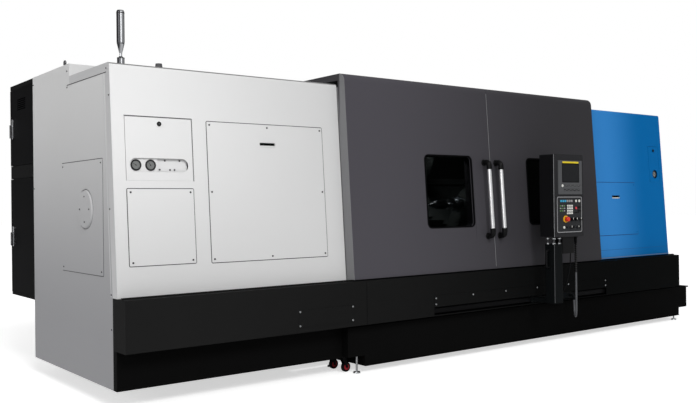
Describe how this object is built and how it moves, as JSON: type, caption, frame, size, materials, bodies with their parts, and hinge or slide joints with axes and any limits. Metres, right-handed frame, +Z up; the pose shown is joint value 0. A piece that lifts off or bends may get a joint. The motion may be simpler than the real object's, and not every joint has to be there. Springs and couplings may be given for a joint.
{
  "type": "cnc turning lathe",
  "caption": "Long slant-bed turning lathe with a light grey headstock cover, dark sliding doors, a blue tailstock cover, a pendant on a rail and a coolant tank.",
  "frame": {"origin": "centre of the machine's box, on the floor", "axes": "+X along the spindle from the headstock to the tailstock, +Y from the doors to the back, +Z up"},
  "size_m": [6.45, 2.633, 2.57],
  "materials": {
    "cast": "painted casting",
    "cast_white": "light grey paint",
    "steel": "satin",
    "machined": "ground",
    "steel_sheet": "satin",
    "light_grey": "fine texture",
    "light_grey_back": "fine texture",
    "side_grey": "fine texture",
    "dark_grey": "fine texture",
    "blue": "satin",
    "black": "fine texture",
    "tank_black": "fine texture",
    "cabinet_black": "fine texture",
    "galvanised": "zinc",
    "gauge": "polished",
    "chrome": "polished",
    "tower_clear": "clear and silver",
    "window": "clear",
    "handle_steel": "satin",
    "pendant_black": "fine texture",
    "display_black": "matt",
    "console": "satin",
    "red": "gloss",
    "button_white": "gloss",
    "knob_black": "matt",
    "cord_black": "matt",
    "wheel_red": "satin"
  },
  "bodies": {
    "machine": {"bed": "cast", "levelling_feet": "steel", "headstock": "cast", "headstock_cover": "light_grey", "left_side_cover": "side_grey", "side_access_panel": "side_grey", "headstock_panel": "light_grey", "air_unit_panel": "light_grey", "pressure_gauges": "gauge", "rear_housing": "light_grey_back", "chamber_liner": "steel_sheet", "tailstock_cover": "blue", "tailstock_panel": "blue", "lower_band": "black", "rail_strip": "black", "pendant_rail": "steel", "coolant_tank": "tank_black", "cabinet_shell": "cabinet_black", "cabinet_backplate": "galvanised", "signal_tower": "tower_clear", "eye_bolts": "steel"},
    "left_door": {"left_door": "dark_grey", "left_window": "window", "left_door_handle": "handle_steel"},
    "right_door": {"right_door": "dark_grey", "right_window": "window", "right_door_handle": "handle_steel"},
    "spindle": {"spindle": "machined", "chuck": "machined"},
    "jaw_1": {"chuck_jaw_1": "machined"},
    "jaw_2": {"chuck_jaw_2": "machined"},
    "jaw_3": {"chuck_jaw_3": "machined"},
    "carriage": {"carriage": "cast_white"},
    "cross_slide": {"cross_slide": "cast_white"},
    "turret": {"turret_disc": "machined"},
    "tailstock": {"tailstock": "cast_white"},
    "quill": {"quill": "machined"},
    "live_centre": {"live_centre": "machined"},
    "pendant": {"pendant_post": "pendant_black", "pendant_studs": "chrome", "pendant_box": "pendant_black", "display_unit": "display_black", "control_panel": "console", "grab_handles": "knob_black", "junction_box": "knob_black", "pendant_conduit": "cord_black", "pendant_cable": "cord_black"},
    "e_stop": {"e_stop_button": "red"},
    "start_button": {"start_button": "button_white"},
    "stop_button": {"stop_button": "red"},
    "feed_knob": {"feed_knob": "knob_black"},
    "spindle_knob": {"spindle_knob": "knob_black"},
    "upper_cabinet_door": {"upper_cabinet_door": "cabinet_black"},
    "lower_cabinet_door": {"lower_cabinet_door": "cabinet_black"},
    "gauge_hatch": {"gauge_hatch": "light_grey"},
    "valve_hatch": {"valve_hatch": "blue"},
    "caster_front": {"caster_fork_front": "steel"},
    "wheel_front": {"caster_wheel_front": "wheel_red"},
    "caster_rear": {"caster_fork_rear": "steel"},
    "wheel_rear": {"caster_wheel_rear": "wheel_red"}
  },
  "joints": [
    {"name": "left_door_slide", "type": "slide", "parent": "machine", "child": "left_door", "axis": [-1, 0, 0], "range_m": [0, 1.23]},
    {"name": "right_door_slide", "type": "slide", "parent": "machine", "child": "right_door", "axis": [1, 0, 0], "range_m": [0, 1.06]},
    {"name": "spindle_turn", "type": "hinge", "parent": "machine", "child": "spindle", "pos_m": [-1.175, -0.3935, 1.26], "axis": [1, 0, 0], "continuous": true},
    {"name": "jaw_1_slide", "type": "slide", "parent": "spindle", "child": "jaw_1", "axis": [0, 0, 1], "range_m": [-0.012, 0.008]},
    {"name": "jaw_2_slide", "type": "slide", "parent": "spindle", "child": "jaw_2", "axis": [0, -0.866, -0.5], "range_m": [-0.012, 0.008]},
    {"name": "jaw_3_slide", "type": "slide", "parent": "spindle", "child": "jaw_3", "axis": [0, 0.866, -0.5], "range_m": [-0.012, 0.008]},
    {"name": "carriage_slide", "type": "slide", "parent": "machine", "child": "carriage", "axis": [1, 0, 0], "range_m": [-0.68, 1.15]},
    {"name": "cross_slide", "type": "slide", "parent": "carriage", "child": "cross_slide", "axis": [0, 0.7071, 0.7071], "range_m": [-0.27, 0.06]},
    {"name": "turret_index", "type": "hinge", "parent": "cross_slide", "child": "turret", "pos_m": [-0.265, 0.0308, 1.6843], "axis": [1, 0, 0], "continuous": true},
    {"name": "tailstock_slide", "type": "slide", "parent": "machine", "child": "tailstock", "axis": [1, 0, 0], "range_m": [-0.82, 0.5]},
    {"name": "quill_slide", "type": "slide", "parent": "tailstock", "child": "quill", "axis": [-1, 0, 0], "range_m": [-0.11, 0.15]},
    {"name": "centre_turn", "type": "hinge", "parent": "quill", "child": "live_centre", "pos_m": [0.005, -0.3935, 1.26], "axis": [1, 0, 0], "continuous": true},
    {"name": "pendant_slide", "type": "slide", "parent": "machine", "child": "pendant", "axis": [1, 0, 0], "range_m": [-1.19, 0.5]},
    {"name": "e_stop_press", "type": "slide", "parent": "pendant", "child": "e_stop", "axis": [0, 1, 0], "range_m": [0, 0.005]},
    {"name": "start_press", "type": "slide", "parent": "pendant", "child": "start_button", "axis": [0, 1, 0], "range_m": [0, 0.003], "stiffness_N_per_m": 900, "springref_m": -0.001},
    {"name": "stop_press", "type": "slide", "parent": "pendant", "child": "stop_button", "axis": [0, 1, 0], "range_m": [0, 0.003], "stiffness_N_per_m": 900, "springref_m": -0.001},
    {"name": "feed_turn", "type": "hinge", "parent": "pendant", "child": "feed_knob", "pos_m": [0.817, -1.2775, 1.12], "axis": [0, -1, 0], "range_deg": [-150, 150]},
    {"name": "spindle_speed_turn", "type": "hinge", "parent": "pendant", "child": "spindle_knob", "pos_m": [0.871, -1.2775, 1.12], "axis": [0, -1, 0], "range_deg": [-150, 150]},
    {"name": "upper_cabinet_door_turn", "type": "hinge", "parent": "machine", "child": "upper_cabinet_door", "pos_m": [-3.195, 0.7185, 1.93], "axis": [0, 0, 1], "range_deg": [0, 110]},
    {"name": "lower_cabinet_door_turn", "type": "hinge", "parent": "machine", "child": "lower_cabinet_door", "pos_m": [-3.195, 0.7185, 1.045], "axis": [0, 0, 1], "range_deg": [0, 110]},
    {"name": "gauge_hatch_turn", "type": "hinge", "parent": "machine", "child": "gauge_hatch", "pos_m": [-2.8725, -0.8623, 1.44], "axis": [1, 0, 0], "range_deg": [0, 90]},
    {"name": "valve_hatch_turn", "type": "hinge", "parent": "machine", "child": "valve_hatch", "pos_m": [2.781, -0.8601, 1.474], "axis": [1, 0, 0], "range_deg": [0, 90]},
    {"name": "caster_front_swivel", "type": "hinge", "parent": "machine", "child": "caster_front", "pos_m": [-1.395, -0.8335, 0.1], "axis": [0, 0, 1], "continuous": true},
    {"name": "wheel_front_turn", "type": "hinge", "parent": "caster_front", "child": "wheel_front", "pos_m": [-1.36, -0.8335, 0.0375], "axis": [0, 1, 0], "continuous": true},
    {"name": "caster_rear_swivel", "type": "hinge", "parent": "machine", "child": "caster_rear", "pos_m": [-1.395, -0.6785, 0.1], "axis": [0, 0, 1], "continuous": true},
    {"name": "wheel_rear_turn", "type": "hinge", "parent": "caster_rear", "child": "wheel_rear", "pos_m": [-1.36, -0.6785, 0.0375], "axis": [0, 1, 0], "continuous": true}
  ],
  "couplings": [
    {"joint": "jaw_2_slide", "follows": "jaw_1_slide", "ratio": 1},
    {"joint": "jaw_3_slide", "follows": "jaw_1_slide", "ratio": 1}
  ]
}
